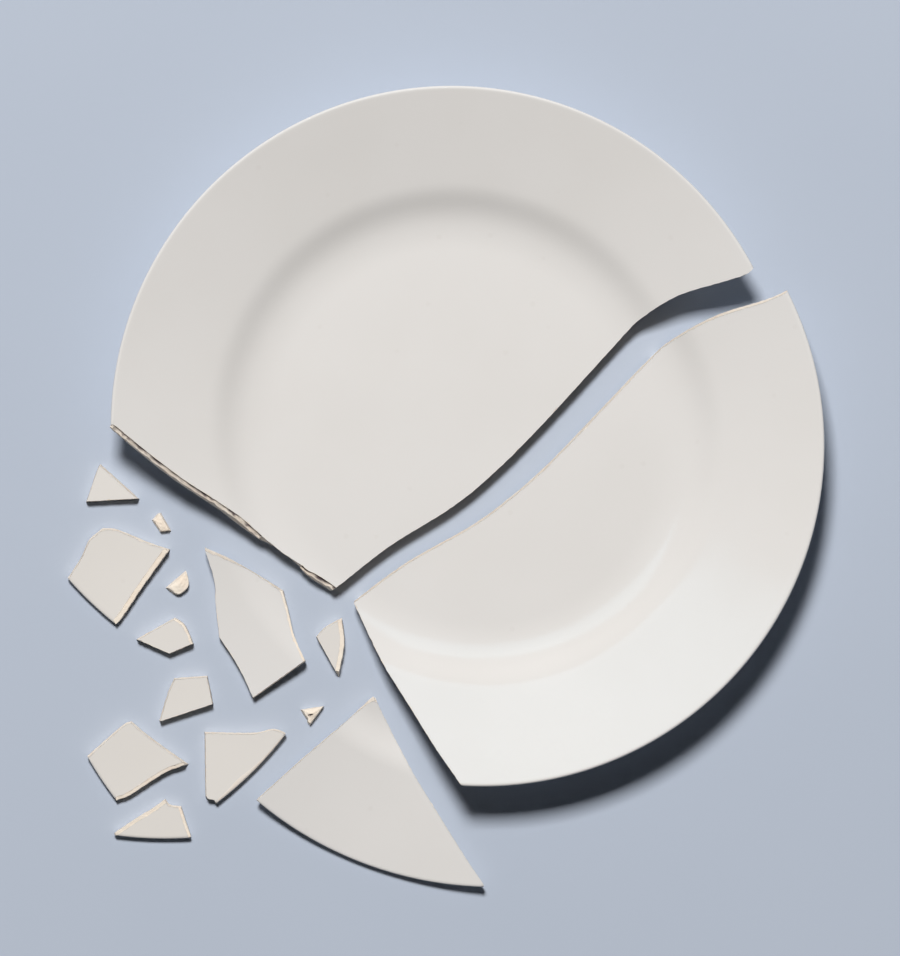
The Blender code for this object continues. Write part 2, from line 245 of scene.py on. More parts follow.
# The room and the view (metres, and watts for the lamps). A way points at a lamp.
TABLE_WIDTH = 12.0
TABLE_CLEARANCE = 0.0001
WINDOW_WAY = (-0.10, 0.478, 0.872)
WINDOW_DISTANCE = 5.0
WINDOW_SIZE = 1.1
WINDOW_POWER = 268.0
WINDOW_COLOUR = (1.0, 0.982, 0.966)
SHEEN_WAY = (-0.091, 0.437, 0.895)
SHEEN_WIDTH = 4.2
SHEEN_HEIGHT = 1.8
SHEEN_POWER = 38.0
SHEEN_COLOUR = (0.50, 0.82, 1.0)
ROOM_COLOUR = (0.92, 0.95, 1.0, 1)
ROOM_STRENGTH = 0.011
WALL_STRENGTH = 0.22
WALL_TOP = 0.45
SENSOR_WIDTH = 36.0
CAMERA_HEIGHT = 5.0
RIM_HEIGHT = 0.0254
VIEW_HEIGHT = 0.3781
VIEW_MIDDLE = (0.0018, 0.0033)

# Break: one edge from corner to corner. lean is how far its foot stands out past its top
# (mm, negative undercuts), shelf is the share of it that lies in a ledge under the glaze.
Break = namedtuple("Break", "lean shelf points")
# Piece: how far it lies over and towards which bearing (degrees), the middle that its grid
# starts from (for the two halves, and worked out for the others), and its breaks in
# counter-clockwise order. Open ends are joined by the whole rim.
Piece = namedtuple("Piece", "lies_over towards middle breaks")

PIECES = {
    "upper_half": Piece(0, 0, (-26, 56), (
        Break(1.5, 0.88, ((-136.5, 1), (-124, -9.5), (-108.1, -21.8), (-90.4, -33.5),
                          (-76.5, -44.5))),
        Break(-1.9, 0, ((-76.5, -44.5), (-70.6, -48.4), (-60.2, -56))),
        Break(1.6, 0.88, ((-60.2, -56), (-58.1, -58.3), (-51, -62.6), (-47.4, -65.1))),
        Break(-0.6, 0, ((-47.4, -65.1), (-25.3, -47.7), (-1, -32.5), (14.6, -20.1), (34, -1),
                        (67.5, 35.5), (76.5, 44), (90, 52.3), (107, 57.5), (115.6, 60.1),
                        (119, 62.2), (120.3, 64.5))),
    )),
    "lower_half": Piece(0, 0, (45, -38), (
        Break(0.8, 0, ((121.5, 62), (112, 57.7), (91.5, 51.1), (74, 41.5), (64.5, 33),
                       (52.5, 20.5), (26, -7), (9.5, -21.5), (-5, -32), (-30.5, -46.5),
                       (-52, -62.2))),
        Break(-1.7, 0, ((-52, -62.2), (-42.8, -82.3), (-28.3, -105.6), (-18.8, -120.6),
                        (-7.3, -137))),
    )),
    "rim_wedge": Piece(20.3, 249.5, None, (
        Break(-1.2, 0, ((2, -136.5), (-10.3, -119.6), (-33.3, -84.6), (-39.9, -72.1),
                        (-43.3, -64.4))),
        Break(-0.2, 0, ((-43.3, -64.4), (-47, -65.3), (-68.2, -82), (-93, -103))),
    )),
    "long_shard": Piece(20.9, 215, None, (
        Break(0.2, 0, ((-100.2, -26), (-96.5, -39), (-96, -48), (-94.5, -61.4))),
        Break(0.4, 0, ((-94.5, -61.4), (-86.5, -74), (-80.7, -85.7))),
        Break(0.2, 0, ((-80.7, -85.7), (-60.5, -71.3))),
        Break(0.9, 0.9, ((-60.5, -71.3), (-65.5, -61.5), (-68.2, -52), (-70.5, -44.2))),
        Break(0.5, 0, ((-70.5, -44.2), (-86.5, -33), (-100.2, -26))),
    )),
    "square_rim_shard": Piece(18, 226.9, None, (
        Break(2, 0.9, ((-84.3, -107.3), (-80.8, -103.8), (-73, -92), (-63, -77.9))),
        Break(0.4, 0, ((-63, -77.9), (-71.5, -74.9), (-83.4, -69.8), (-89.3, -69))),
        Break(0.5, 0, ((-89.3, -69), (-94.5, -73.5), (-97.6, -80.3), (-103, -88.8))),
    )),
    "kite_rim_shard": Piece(18, 215.5, None, (
        Break(1.4, 0.9, ((-107.5, -83.5), (-101.5, -81.5), (-88, -73), (-79.1, -69.7))),
        Break(0.4, 0, ((-79.1, -69.7), (-93.5, -59.2), (-101.4, -52.4))),
        Break(0.6, 0, ((-101.4, -52.4), (-105.5, -54.6), (-119.5, -67))),
    )),
    "corner_rim_shard": Piece(18, 313, None, (
        Break(0.4, 0, ((110.5, -81.2), (103.9, -78.9), (95.9, -80.6), (77, -80.8))),
        Break(0.3, 0, ((77, -80.8), (76.7, -105.5))),
        Break(0.2, 0, ((76.7, -105.5), (77.6, -106.7), (79.8, -107.1), (81, -108.9),
                       (82.7, -111))),
    )),
    "low_rim_shard": Piece(18, 268, None, (
        Break(1, 0.9, ((11.5, -136.5), (6.7, -122.9))),
        Break(0.5, 0, ((6.7, -122.9), (2.3, -122.2), (0.4, -120.1))),
        Break(1.3, 0.9, ((0.4, -120.1), (-5.5, -124.2), (-9.7, -126.5), (-26, -136.8))),
    )),
    "triangle_shard": Piece(17.3, 204.4, None, (
        Break(0.5, 0, ((-89.6, -51.3), (-103.6, -38.4))),
        Break(0.3, 0, ((-103.6, -38.4), (-105.4, -38.4), (-110, -52.2))),
        Break(0.2, 0, ((-110, -52.2), (-89.6, -51.3))),
    )),
    "blunt_shard": Piece(17.3, 215.5, None, (
        Break(0.4, 0, ((-86.5, -54.8), (-101.3, -63.1))),
        Break(0.2, 0, ((-101.3, -63.1), (-88.4, -69))),
        Break(0.2, 0, ((-88.4, -69), (-79.1, -65.2))),
        Break(0.8, 0.9, ((-79.1, -65.2), (-82.5, -58), (-86.5, -54.8))),
    )),
    "slim_shard": Piece(17.3, 223, None, (
        Break(0.3, 0, ((-74.4, -59.8), (-81, -63.5), (-84.3, -67.1))),
        Break(0.2, 0, ((-84.3, -67.1), (-75.2, -83))),
        Break(1.7, 0.9, ((-75.2, -83), (-73.2, -70), (-74.4, -59.8))),
    )),
    "tapered_shard": Piece(17.3, 200.6, None, (
        Break(0.4, 0, ((-95.8, -29.5), (-108.5, -30.2))),
        Break(0.6, 0, ((-108.5, -30.2), (-111, -36), (-114.2, -47.4))),
        Break(-0.5, 0, ((-114.2, -47.4), (-93.5, -40.6))),
        Break(0.2, 0, ((-93.5, -40.6), (-95.8, -29.5))),
    )),
    "oblong_chip": Piece(18, 200.6, None, (
        Break(0.9, 0, ((-106.9, -43.2), (-110.9, -36))),
        Break(0.5, 0, ((-110.9, -36), (-112.2, -36.3), (-114.4, -38.8))),
        Break(0.4, 0, ((-114.4, -38.8), (-111.3, -43.5))),
        Break(0.3, 0, ((-111.3, -43.5), (-106.9, -43.2))),
    )),
    "crescent_chip": Piece(17.4, 212, None, (
        Break(0.8, 0, ((-83.9, -45.3), (-91.7, -52))),
        Break(0.4, 0, ((-91.7, -52), (-87.3, -54.9), (-83.6, -52.9), (-82.9, -50),
                       (-83.9, -45.3))),
    )),
    "small_chip": Piece(17.6, 223, None, (
        Break(0.7, 0, ((-65.7, -67.7), (-75.1, -69.1))),
        Break(0.4, 0, ((-75.1, -69.1), (-73.1, -72.2), (-72.4, -72.9), (-72.3, -74.2),
                       (-71.2, -75.3))),
        Break(0.4, 0, ((-71.2, -75.3), (-65.7, -67.7))),
    )),
}

# The pieces with the plainer glaze (the others are a little creamier), and the chips.
LARGEST = ("upper_half", "lower_half", "rim_wedge", "long_shard")
CHIPS = ("oblong_chip", "crescent_chip", "small_chip")


def slope_at(radius):
    """Slope of the top face: flat floor, steepening wall, then the even brim."""
    radii, slopes = zip(*SLOPES)
    return np.interp(radius, radii, slopes)


def height_along(radius):
    """Height gained out to a radius: the sum of each small step times its slope's tangent."""
    steps = np.arange(0, PLATE_RADIUS + SLOPE_STEP, SLOPE_STEP)
    rises = np.tan(np.radians(slope_at(steps[:-1] + SLOPE_STEP / 2))) * SLOPE_STEP
    return np.interp(radius, steps, np.concatenate(([0], np.cumsum(rises))))


def thickness(radius):
    """Upright thickness of the plate, thinning from the wall to the lip."""
    return np.interp(radius, (0, FLOOR_RADIUS, FOOT_ROOT_RADIUS, LIP_TOP_RADIUS),
                     (FLOOR_THICKNESS, FLOOR_THICKNESS, WALL_THICKNESS, LIP_THICKNESS))


def lip_share(radius, start):
    """Share of the half thickness left where the lip closes in, as a squared-off ellipse.

    With s the share of the way out through the lip and n its squareness, it is the nth root
    of 1 less s to the power n.
    """
    into_lip = np.clip((radius - start) / (PLATE_RADIUS - start), 0, 1)
    return (1 - into_lip ** LIP_SQUARENESS) ** (1 / LIP_SQUARENESS)


def middle(radius):
    """Height of the middle of the plate's wall."""
    floor_top = RECESS_HEIGHT + FLOOR_THICKNESS
    return floor_top + height_along(radius) - thickness(radius) / 2


def top(radius):
    """Height of the glazed top face."""
    return middle(radius) + thickness(radius) / 2 * lip_share(radius, LIP_TOP_RADIUS)


def underside(radius):
    """Height of the underside: flat recess, foot ring with rounded edges, wall and lip."""
    plain = middle(radius) - thickness(radius) / 2 * lip_share(radius, LIP_UNDER_RADIUS)
    root = middle(FOOT_ROOT_RADIUS) - thickness(FOOT_ROOT_RADIUS) / 2
    foot = np.interp(radius, (*FOOT_EDGES, FOOT_ROOT_RADIUS),
                     (RECESS_HEIGHT, FOOT_ROUNDING, 0, 0, FOOT_ROUNDING, root))
    return np.where(radius < FOOT_ROOT_RADIUS, foot, plain)


def radius_of(plan):
    """Distance of plan points from the plate's axis."""
    return np.linalg.norm(plan, axis=-1)


def waves(points, size, seed):
    """Smooth unevenness around 0, mostly between -1.5 and 1.5.

    It is a sum of plane waves in random directions, over the root of their number.
    """
    draw = np.random.default_rng(seed)
    ways = draw.normal(size=(WAVE_COUNT, points.shape[-1]))
    ways /= np.linalg.norm(ways, axis=1)[:, None]
    rates = math.tau / (size * draw.uniform(*WAVE_SIZES, WAVE_COUNT))
    phases = draw.uniform(0, math.tau, WAVE_COUNT)
    total = np.sin(points @ (ways * rates[:, None]).T + phases).sum(axis=-1)
    return total / math.sqrt(WAVE_COUNT)


def smooth_run(points):
    """Many points along a smooth curve through the given ones (Catmull-Rom)."""
    p = np.array(points, float)
    ends = np.vstack((2 * p[0] - p[1], p, 2 * p[-1] - p[-2]))
    a, b, c, d = (ends[i:len(ends) - 3 + i, None] for i in range(4))
    t = (np.arange(RUN_STEPS) / RUN_STEPS)[None, :, None]
    run = 0.5 * (2 * b + (c - a) * t + (2 * a - 5 * b + 4 * c - d) * t ** 2
                 + (3 * b - a - 3 * c + d) * t ** 3)
    return np.vstack((run.reshape(-1, 2), p[-1:]))


def left_of(run):
    """Unit normals to the left of a run, which is towards the piece."""
    along = np.gradient(run, axis=0)
    along /= np.linalg.norm(along, axis=1)[:, None]
    return np.column_stack((-along[:, 1], along[:, 0]))


def lengths_along(run):
    """Distance walked from the start of a run to each of its points."""
    return np.concatenate(([0], np.cumsum(np.linalg.norm(np.diff(run, axis=0), axis=1))))


def cut_at_rim(run, lean):
    """Cuts a run off where the middle of its broken face meets the rim."""
    mid_radius = radius_of(run + left_of(run) * abs(lean) / 2)
    outside = mid_radius > PLATE_RADIUS
    if not outside.any():
        return run
    walked = lengths_along(run)
    inside = np.flatnonzero(~outside)
    first, last = inside[0], inside[-1]
    near = slice(0, first + 1) if outside[0] else slice(last, len(run))
    radii, places = mid_radius[near], walked[near]
    order = np.argsort(radii)
    cut = np.interp(PLATE_RADIUS, radii[order], places[order])
    keep = walked > cut if outside[0] else walked < cut
    at_cut = [np.interp(cut, walked, run[:, i]) for i in (0, 1)]
    kept = run[keep]
    return np.vstack((at_cut, kept)) if outside[0] else np.vstack((kept, at_cut))


def paced(run, spacing):
    """A run at an even pace, but closer towards its ends, and on the foot ring's edges too.

    The even share u of the way along becomes u - c sin(2 pi u) / 2 pi, with c the crowding.
    """
    walked = lengths_along(run)
    count = max(FEWEST_STEPS, round(walked[-1] / spacing))
    even = np.linspace(0, 1, count + 1)
    places = walked[-1] * (even - CROWDING * np.sin(math.tau * even) / math.tau)
    radii = radius_of(run)
    for edge in FOOT_EDGES:
        crossing = np.flatnonzero(np.diff(np.sign(radii - edge)))
        share = (edge - radii[crossing]) / (radii[crossing + 1] - radii[crossing])
        places = np.append(places, walked[crossing] + share * np.diff(walked)[crossing])
    places = np.sort(places)
    places = places[np.concatenate(([True], np.diff(places) > SHORTEST_STEP))]
    places[-1] = walked[-1]
    return np.column_stack([np.interp(places, walked, run[:, i]) for i in (0, 1)])


Side = namedtuple("Side", "edge run normals mid_radius")
Outline = namedtuple("Outline", "top foot outward lean shelf fade")
Skin = namedtuple("Skin", "grid bare grime edges")


def side_of(edge, spacing):
    """One break at the skin's pace, with its normals and the radius of its mid line."""
    run = paced(cut_at_rim(smooth_run(edge.points), edge.lean), spacing)
    normals = left_of(run)
    radius = radius_of(run + normals * abs(edge.lean) / 2)
    radius = np.where(radius > PLATE_RADIUS - ON_RIM, PLATE_RADIUS, radius)
    return Side(edge, run, normals, radius)


def drawn_in(lean, level):
    """How far in a broken face stands at a level: 1 is its top, -1 its foot."""
    return max(lean, 0) * (1 + level) / 2 + max(-lean, 0) * (1 - level) / 2


def mitre(before, after, amount_before, amount_after):
    """The corner of two sides that are each drawn in by their own amount.

    At a sharp turn it is where the two drawn-in lines cross, and otherwise the mean of their
    ends.
    """
    turn = before[0] * after[1] - before[1] * after[0]
    if abs(turn) < SHARP_TURN:
        return (before * amount_before + after * amount_after) / 2
    x = amount_before * after[1] - amount_after * before[1]
    y = amount_after * before[0] - amount_before * after[0]
    return np.array((x, y)) / turn


def square_through(plan):
    """How far outwards a crack moves on its way down through the wall, square to it.

    It is the upright thickness times the sine and the cosine of the slope.
    """
    radius = radius_of(plan)
    slope = np.radians(slope_at(radius))
    drift = thickness(radius) * np.sin(slope) * np.cos(slope)
    return plan * (drift / radius)[:, None]


def line_at(level, side, before, after):
    """Plan of a break's top edge (level 1) or foot (level -1).

    The run is drawn in by its lean and moved by half of the crack's drift, and both fade
    where the lip closes. Towards a corner it is stretched to end in the mitre there.
    """
    fade = lip_share(side.mid_radius, LIP_TOP_RADIUS if level > 0 else LIP_UNDER_RADIUS)
    amount = drawn_in(side.edge.lean, level * fade)
    line = side.run + side.normals * amount[:, None]
    walked = lengths_along(side.run)
    reach = min(CORNER_SHARE * walked[-1], CORNER_REACH)
    if before:
        corner = mitre(before.normals[-1], side.normals[0],
                       drawn_in(before.edge.lean, level), amount[0])
        pull = np.clip(1 - walked / reach, 0, 1)[:, None]
        line += pull * (corner - side.normals[0] * amount[0])
    if after:
        corner = mitre(side.normals[-1], after.normals[0],
                       amount[-1], drawn_in(after.edge.lean, level))
        pull = np.clip(1 - (walked[-1] - walked) / reach, 0, 1)[:, None]
        line += pull * (corner - side.normals[-1] * amount[-1])
    return line - level * square_through(side.run) / 2 * fade[:, None]


def rim_between(last, first):
    """Points of the whole rim, counter-clockwise from the last break to the first."""
    start = math.atan2(last[1], last[0])
    sweep = (math.atan2(first[1], first[0]) - start) % math.tau
    count = max(FEWEST_STEPS, round(sweep * PLATE_RADIUS / RIM_SPACING))
    angles = start + sweep * np.arange(1, count) / count
    return PLATE_RADIUS * np.column_stack((np.cos(angles), np.sin(angles)))


def outline(piece, spacing):
    """Everything that is known of a piece's edge, one entry for each column of its grid."""
    sides = [side_of(edge, spacing) for edge in piece.breaks]
    closed = piece.breaks[0].points[0] == piece.breaks[-1].points[-1]
    rows = []
    for i, side in enumerate(sides):
        before = sides[i - 1] if closed or i > 0 else None
        after = sides[(i + 1) % len(sides)] if closed or i < len(sides) - 1 else None
        kept = slice(0, -1) if after else slice(None)
        ones = np.ones(len(side.run))
        fade = lip_share(side.mid_radius, LIP_TOP_RADIUS)
        rows.append([line_at(1, side, before, after)[kept],
                     line_at(-1, side, before, after)[kept],
                     -side.normals[kept], side.edge.lean * ones[kept],
                     side.edge.shelf * ones[kept], fade[kept]])
    if not closed:
        rim = rim_between(rows[-1][0][-1], rows[0][0][0])
        none = np.zeros(len(rim))
        rows.append([rim, rim, rim / PLATE_RADIUS, none, none, none])
    made = Outline(*(np.concatenate(part) for part in zip(*rows)))
    on_rim = made.fade == 0
    rim_points = made.top[on_rim] + made.foot[on_rim]
    rim_points *= PLATE_RADIUS / radius_of(rim_points)[:, None]
    made.top[on_rim] = made.foot[on_rim] = rim_points
    return made


def roughness(points, layers, seed):
    """Layers of unevenness added up, each with its own height and size."""
    return sum(height * waves(points, size, seed + i)
               for i, (height, size) in enumerate(layers))


def nicks(line, fade, seed):
    """Depth of the small nicks along an edge: rounded bites at random places.

    Each is its depth times 1 - x x, where x is the distance from its middle over its width.
    """
    draw = np.random.default_rng(seed)
    walked = lengths_along(line)
    count = max(FEWEST_NICKS, round(walked[-1] / NICK_SPACING))
    places = draw.uniform(0, walked[-1], count)
    widths = draw.uniform(*NICK_WIDTHS, count) * draw.uniform(*NICK_SHARES, count)
    across = (walked[:, None] - places) / widths
    return (np.clip(1 - across ** 2, 0, 1) * widths * NICK_DEPTH).max(axis=1) * fade


def to_circles(centre, ways, circles):
    """Distance from the centre, along each way, to each circle around the plate's axis.

    With a the centre's reach along the way, c its distance from the axis and r the radius,
    it is the root of a a + r r - c c, less a.
    """
    along = ways @ centre
    inside = np.array(circles)[:, None] ** 2 - centre @ centre
    return np.sqrt(along ** 2 + inside) - along


def clear_middle(line):
    """The point that stands furthest inside all sides of an outline, out of an even grid.

    How far it stands inside a side is the cross product of the side's direction and the way
    from the side's start to the point.
    """
    along = np.roll(line, -1, axis=0) - line
    along /= np.linalg.norm(along, axis=1)[:, None]
    steps = np.linspace(0, 1, MIDDLE_TRIES)[:, None]
    x, y = (line.min(axis=0) + steps * np.ptp(line, axis=0)).T
    tries = np.stack(np.meshgrid(x, y), axis=-1).reshape(-1, 2)
    away = tries[:, None] - line
    inside = (along[:, 0] * away[..., 1] - along[:, 1] * away[..., 0]).min(axis=1)
    return tries[inside.argmax()]


def in_order(angles):
    """Angles around a piece that never turn back, and stay within one turn of the first.

    Each is the largest so far, and at least the least turn more than the one before.
    """
    lead = LEAST_TURN * np.arange(len(angles))
    forward = np.maximum.accumulate(angles - lead) + lead
    return np.minimum(forward, angles[0] + math.tau + lead - LEAST_TURN * len(angles))


def cap(edge, centre, circles, band, row=SMALL_ROW):
    """Plan points of a cap, from its centre out to its edge, and their distance from it.

    Rows follow circles of the plate where they are given, then the band along the edge.
    Inside the band the columns are kept in order, where the edge turns back on itself.
    """
    spread = edge - centre
    reach = radius_of(spread)
    angles = np.unwrap(np.arctan2(spread[:, 1], spread[:, 0]))
    orderly = in_order(angles)
    fit = np.minimum(1, BAND_SHARE * reach / band[0])
    near_edge = reach - np.array(band)[:, None] * fit
    if circles is None:
        count = max(FEWEST_ROWS, math.ceil(near_edge[0].max() / row))
        rows = np.arange(count)[:, None] / count * near_edge[0]
    else:
        marks = to_circles(centre, np.column_stack((np.cos(orderly), np.sin(orderly))), circles)
        rows = np.vstack((np.arange(INNER_ROWS)[:, None] / INNER_ROWS * marks[0], marks))
        rows = np.minimum(rows, near_edge[0])
    out = np.vstack((rows, near_edge))
    own = np.concatenate((np.zeros(len(rows)), 1 - np.array(band) / band[0]))[:, None]
    turned = orderly + (angles - orderly) * own
    ways = np.stack((np.cos(turned), np.sin(turned)), axis=-1)
    return centre + ways * out[..., None], reach - out


def face_rows(start, drop):
    """Share of the way down a broken face at each of its rows, for each column.

    The rows through the glaze end where the ledge starts, if it starts that early.
    """
    glaze = np.array(GLAZE_ROWS)[:, None] * np.minimum(1, start / GLAZE_ROWS[-1])
    ledge = start + drop * np.array(LEDGE_ROWS)[:, None]
    rest = ledge[-1] + (FACE_END - ledge[-1]) * np.array(LOWER_ROWS)[:, None]
    return np.vstack((glaze[:-1], ledge, rest))


def shelf_profile(down, shelf, start, drop):
    """How much further than an even lean a face stands out on its way down.

    With a shelf, the face first drops square, then runs out in a ledge, then drops again:
    the shelf times s s (3 - 2 s) - d, for the share d down and the share s of the ledge.
    """
    step = np.clip((down - start) / drop, 0, 1)
    return shelf * (step * step * (3 - 2 * step) - down)


def wandering(line, height_and_size, seed):
    """A factor around 1 that wanders along an edge."""
    height, size = height_and_size
    return 1 + height * np.clip(waves(line, size, seed), -1, 1)


def broken_face(rim, top_edge, foot_edge, ledge, seed):
    """Rows of a broken face: straight from top edge to foot, then shelved and roughened.

    The roughness grows from nothing at both edges, as 4 d (1 - d) for the share d down.
    """
    start = ledge.start * wandering(rim.top, SHELF_WANDER, seed + WANDER_SEED)
    wander = (ledge.raggedness, SHELF_RAGGED_SIZE)
    shelf = np.minimum(1, rim.shelf * wandering(rim.top, wander, seed + RAGGED_SEED))
    down = face_rows(start, ledge.drop)
    points = top_edge * (1 - down[..., None]) + foot_edge * down[..., None]
    out = rim.lean * shelf_profile(down, shelf, start, ledge.drop)
    out += roughness(points, FACE_ROUGHNESS, seed) * 4 * down * (1 - down) * rim.fade
    points[..., :2] += rim.outward * out[..., None]
    return points


def with_height(plan, height):
    """Space points from plan points and their heights."""
    return np.concatenate((plan, height[..., None]), axis=-1)


def ledge_shade(rim, seed):
    """How much painted shade the rows of a broken face carry: darkest in the corner under the
    glaze.
    """
    along = np.array(LEDGE_ROWS)[:, None]
    reach = SHADE_REACH * wandering(rim.top, SHADE_RAGGED, seed + WANDER_SEED)
    corner = np.clip((reach - along) / SHADE_EDGE, 0, 1)
    patchy = np.clip(SHADE_MEAN + SHADE_PATCHINESS * waves(rim.top, SHADE_PATCH_SIZE, seed), 0, 1)
    ledge = SHADE_FILM + (1 - SHADE_FILM) * corner * patchy
    film = np.full((len(LOWER_ROWS), len(patchy)), SHADE_FILM)
    glaze = np.zeros((len(GLAZE_ROWS) - 1, len(patchy)))
    glaze[-1] = ledge[0]
    return np.vstack((glaze, ledge, film)) * (rim.shelf > 0) * rim.fade


def ragged(line, outward, fade, seed):
    """A broken edge's line with its fine unevenness, square to the edge."""
    return line + outward * (roughness(line, EDGE_ROUGHNESS, seed) * fade)[:, None]


def flaked_and_lit_edge(line, inwards, fade, worn_and_lit_lip, seed):
    """How bare the glaze's flaked band leaves the top at each distance in from the edge; the
    lighter band is also a painted highlight along the edge.

    Its width wanders between a narrow and a wide one, and it fades over its blur.
    """
    narrow, wide = FLAKED_LIT_WIDTHS
    width = narrow + (wide - narrow) * (1 + waves(line, FLAKED_LIT_SIZE, seed)) / 2
    width = np.where(fade > 0, width, worn_and_lit_lip)
    return FLAKED_LIT_SHARE * np.clip((width - inwards) / FLAKED_LIT_BLUR, 0, 1)


def shard_top(rim, line, centre, circles, worn_and_lit_lip, seed):
    """The glazed top with its nicked edge, and how bare of glaze it is, with its flaked band
    also a painted highlight.

    A nick cuts down by 1 - (distance in / its reach) squared of its depth at the edge.
    """
    plan, inwards = cap(line, centre, circles, TOP_BAND)
    depth = nicks(line, rim.fade, seed + NICK_SEED)
    reach = np.maximum(depth / NICK_REACH, WELD)
    bite = np.clip(1 - (inwards / reach) ** 2, 0, 1)
    # The flaked band is lighter than the glaze: partly bare body and partly a painted highlight
    # along the edge.
    flaked = flaked_and_lit_edge(line, inwards, rim.fade, worn_and_lit_lip, seed + FLAKED_LIT_SEED)
    height, size = GLAZE_WAVINESS
    wavy = height * waves(plan, size, seed + WAVY_SEED)
    upper = with_height(plan, top(radius_of(plan)) - depth * bite + wavy)
    return upper, np.maximum(np.minimum(bite * NICK_BARENESS, 1), flaked)


def shard_underside(line, centre, circles):
    """The underside from its edge inwards, bare only on the foot ring's standing face."""
    plan, _ = cap(line, centre, circles, UNDER_BAND)
    radius = radius_of(plan)
    on_foot = (radius > FOOT_EDGES[1]) & (radius < FOOT_EDGES[-2])
    return with_height(plan, underside(radius))[::-1], on_foot[::-1]


def shard_grid(piece, is_large, worn_and_lit_lip, seed):
    """Grid of a shard's skin, how bare of glaze each point is, and its painted shade."""
    rim = outline(piece, BREAK_SPACING if is_large else SMALL_SPACING)
    top_line = ragged(rim.top, rim.outward, rim.fade, seed)
    foot_line = ragged(rim.foot, rim.outward, rim.fade, seed + FOOT_SEED)
    centre = np.array(piece.middle, float) if is_large else clear_middle(rim.top)
    upper, bare_and_lit_top = shard_top(rim, top_line, centre, TOP_CIRCLES if is_large else None,
                                worn_and_lit_lip, seed)
    lower, bare_under = shard_underside(foot_line, centre,
                                        UNDER_CIRCLES if is_large else None)
    ledge = HALF_LEDGE if is_large else SHARD_LEDGE
    face = broken_face(rim, upper[-1], lower[0], ledge, seed + FACE_SEED)
    bare_face = np.ones(face.shape[:2]) * (rim.fade > 0)
    bare_face[:2] = bare_face[-1] = 0  # the glaze's own thickness
    bare = np.vstack((bare_and_lit_top, bare_face, bare_under))
    grime = np.zeros(bare.shape)
    edge_row, foot_row = len(upper) - 1, len(upper) + len(face)
    if is_large:
        # Painted shade in the ledge corners under the glaze's edge, with a faint film further
        # down.
        grime[edge_row + 1:foot_row] = ledge_shade(rim, seed + SHADE_SEED)
    grid = np.concatenate((upper, face, lower))
    on_rim = rim.fade == 0
    grid[edge_row:foot_row + 1, on_rim] = grid[edge_row, on_rim]
    return Skin(grid, bare, grime, (edge_row, foot_row))


def pit_share(plan, pit):
    """1 in the middle of a narrow pit, falling to 0 at its elliptic edge.

    It is 1 less the squares of the shares of the way out along the pit and across it.
    """
    bearing = math.radians(pit.bearing)
    way = np.array((math.cos(bearing), math.sin(bearing)))
    along = (plan - pit.middle) @ way / pit.half_length
    across = (plan - pit.middle) @ np.array((-way[1], way[0])) / pit.half_width
    return np.clip(1 - along ** 2 - across ** 2, 0, 1)


def chip_grid(piece, pit, seed):
    """Grid of a chip: the glazed underside below, and a crowned, rough flake face above.

    The face lies a chip's thickness over the underside's edge, and towards the middle over
    the mean of that edge, with the crown on top.
    """
    rim = outline(piece, SMALL_SPACING)
    centre = rim.top.mean(axis=0)
    under_plan, _ = cap(rim.foot, centre, None, UNDER_BAND)
    lower = with_height(under_plan, underside(radius_of(under_plan)))[::-1]
    plan, inwards = cap(rim.top, centre, None, TOP_BAND, CHIP_ROW)
    rise = inwards / inwards[0]
    base = lower[0, :, 2]
    height = base * (1 - rise) + base.mean() * rise + CHIP_THICKNESS + CHIP_CROWN * rise
    height += roughness(plan, FLAKE_ROUGHNESS, seed + WAVY_SEED)
    in_pit = pit_share(plan, pit) if pit else np.zeros(height.shape)
    upper = with_height(plan, height - PIT_DEPTH * in_pit)
    face = broken_face(rim, upper[-1], lower[0], SHARD_LEDGE, seed + FACE_SEED)
    grid = np.concatenate((upper, face, lower))
    edge_row, foot_row = len(upper) - 1, len(upper) + len(face)
    bare = np.zeros(grid.shape[:2])
    bare[:foot_row - 1] = 1
    grime = np.zeros(bare.shape)
    # Painted shade in the pit, darkest in its middle.
    grime[:edge_row + 1] = np.minimum(1, PIT_SHADE * in_pit)
    return Skin(grid, bare, grime, (edge_row, foot_row))


def skin(name, grid, bare, grime):
    """A closed mesh from a grid: coinciding points are made one, shrunken faces dropped.

    Rows run out over the top, down and back in, and columns counter-clockwise, so the
    corners of each cell in the order inner, outer, outer next, inner next face outwards.
    """
    rows, columns = bare.shape
    points = grid.reshape(-1, 3)
    _, first, same = np.unique(np.round(points / WELD).astype(np.int64), axis=0,
                               return_index=True, return_inverse=True)
    number = same.reshape(rows, columns)
    following = np.roll(number, -1, axis=1)
    a, b, c, d = number[:-1], number[1:], following[1:], following[:-1]
    faces = np.concatenate((np.stack((a, b, c), axis=-1).reshape(-1, 3),
                            np.stack((a, c, d), axis=-1).reshape(-1, 3)))
    whole = (faces[:, 0] != faces[:, 1]) & (faces[:, 1] != faces[:, 2])
    faces = faces[whole & (faces[:, 2] != faces[:, 0])]
    mesh = bpy.data.meshes.new(name)
    mesh.from_pydata(points[first] * MM, [], faces)
    for label, marks in (("bare", bare), ("grime", grime)):
        layer = mesh.attributes.new(label, "FLOAT", "POINT")
        layer.data.foreach_set("value", marks.reshape(-1)[first].astype(np.float32))
    mesh.shade_smooth()
    mesh.set_sharp_from_angle(angle=math.radians(SHARP_ANGLE))
    return mesh


